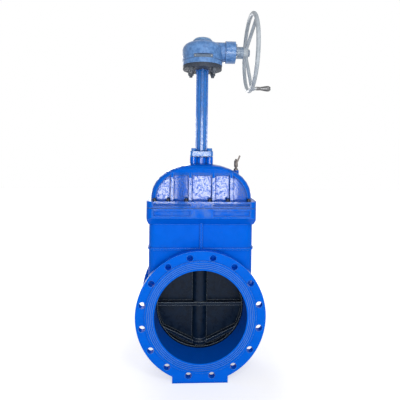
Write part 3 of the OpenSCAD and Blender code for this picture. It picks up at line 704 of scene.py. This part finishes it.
def addWelds(s):
    # a bead is a round section carried round the column's outline, its size rippling along
    # the way: radius = outline + size cos a, height = size sin a; a runs backwards, so that
    # the faces look outwards
    low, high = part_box("extension_column")
    t = np.arange(s["along"]) * 2 * math.pi / s["along"]
    a = -np.arange(s["around"]) * 2 * math.pi / s["around"]
    path = crossOutline(t, s["core"], s["reach"], s["half"])[:, None]
    size = (s["size"] + s["ripple"] * np.sin(s["ripples"] * t))[:, None]
    r = path + size * np.cos(a)
    bead = np.stack([r * np.cos(t)[:, None], stemY + r * np.sin(t)[:, None],
                     size * np.sin(a)], axis=-1)
    ends = np.array([(0, 0, low.z), (0, 0, high.z)])
    addGrid("column_welds", bead + ends[:, None, None, :], "valve",
            columnEpoxy, smooth=True, ring=True)


addWelds(weldBead)
print("welds made")


# studio

def addFlat(name, corners, material):
    # one square face that isn't part of the valve
    mesh = bpy.data.meshes.new(name)
    mesh.from_pydata(corners, [], [(0, 1, 2, 3)])
    mesh.materials.append(material)
    flat = bpy.data.objects.new(name, mesh)
    scene.collection.objects.link(flat)
    return flat


def seenRay(tree):
    # 1 for what the camera sees, directly, mirrored or through glass, and 0 for light's paths
    rays = tree.nodes.new("ShaderNodeLightPath").outputs
    seen = mathNode(tree, "MAXIMUM", rays["Is Camera Ray"], rays["Is Glossy Ray"])
    return mathNode(tree, "MAXIMUM", seen, rays["Is Transmission Ray"])


floorSettings = {
    "size": 14.0, "color": (0.8, 0.8, 0.8), "rough": 0.6, "specular": 0.1,
    "near": 0.5, "far": 1.0,        # lift to white where it is seen, under the part and away
    "fade": (0.35, 1.3),            # metres from the stem, near to far
}


def addFloor(s):
    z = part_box("valve_body")[0].z
    half = s["size"] / 2
    material, tree, shader, place = newMaterial("floorPaint", s)
    away = vectorNode(tree, "DISTANCE", place, (0, stemY, z)).outputs["Value"]
    fade = addRange(tree, away, *s["fade"], s["near"], s["far"])
    lift = mixColor(tree, mathNode(tree, "MULTIPLY", fade, seenRay(tree)), (0, 0, 0), (1, 1, 1))
    feed(tree, shader, {"Emission Color": lift, "Emission Strength": 1.0})
    addFlat("floor", [(-half, -half, z), (half, -half, z), (half, half, z), (-half, half, z)],
            material)


addFloor(floorSettings)

worldSettings = {"ambient": 0.3}


def addWorld(s):
    # white wherever it is seen or mirrored, and a soft grey as a light on the object
    world = bpy.data.worlds.new("studio")
    world.use_nodes = True
    tree = world.node_tree
    strength = addRange(tree, seenRay(tree), 0.0, 1.0, s["ambient"], 1.0)
    feed(tree, tree.nodes["Background"], {"Color": (1, 1, 1), "Strength": strength})
    scene.world = world


addWorld(worldSettings)

softboxes = {
    "left": {"place": (-0.31, -2.1, 0.615), "aim": (-0.1, 0.0, 0.45),
             "size": (0.3, 0.93), "watts": 9.5},
    "right": {"place": (0.22, -2.1, 0.615), "aim": (0.1, 0.0, 0.45),
              "size": (0.54, 0.93), "watts": 17.5},
    "key": {"place": (0.7, -1.9, 2.3), "aim": (0.0, 0.1, 0.7),
            "size": (0.8, 0.8), "watts": 14.0},
    "back": {"place": (-0.6, 2.3, 1.2), "aim": (0.0, 0.2, 0.4),
             "size": (1.3, 1.1), "watts": 20.0},
}


def addSoftbox(name, s):
    data = bpy.data.lights.new(name, "AREA")
    data.shape = "RECTANGLE"
    data.size, data.size_y = s["size"]
    data.energy = s["watts"]
    lamp = bpy.data.objects.new(name, data)
    lamp.location = s["place"]
    aim = Vector(s["aim"]) - Vector(s["place"])
    lamp.rotation_euler = aim.to_track_quat("-Z", "Y").to_euler()
    scene.collection.objects.link(lamp)


for name, settings in softboxes.items():
    addSoftbox(name, settings)

# a black card between the two front lamps, which only mirrored rays see
cardSettings = {
    "x": (-0.16, -0.05), "y": -2.1, "z": (0.0, 1.3),
    "color": (0.01, 0.01, 0.01), "rough": 0.9, "specular": 0.0,
}


def addCard(s):
    (left, right), (low, high), y = s["x"], s["z"], s["y"]
    card = addFlat("card", [(left, y, low), (left, y, high), (right, y, high), (right, y, low)],
                   newMaterial("cardBlack", s)[0])
    card.visible_camera = card.visible_diffuse = card.visible_shadow = False


addCard(cardSettings)

cameraSettings = {
    "place": (-0.078, -1.480, 0.718),
    "yaw": 2.52,        # degrees towards the handwheel
    "roll": 0.74,
    "lens": 31.0,
    "shiftY": -0.125,   # looks level, frames what is below
}


def addCamera(s):
    data = bpy.data.cameras.new("camera")
    data.lens = s["lens"]
    data.shift_y = s["shiftY"]
    camera = bpy.data.objects.new("camera", data)
    turn = (Matrix.Rotation(-math.radians(s["yaw"]), 3, "Z")
            @ Matrix.Rotation(math.pi / 2, 3, "X")
            @ Matrix.Rotation(math.radians(s["roll"]), 3, "Z"))
    camera.rotation_euler = turn.to_euler()
    camera.location = s["place"]
    scene.collection.objects.link(camera)
    scene.camera = camera


addCamera(cameraSettings)
scene.view_settings.view_transform = "Standard"
print("studio set")
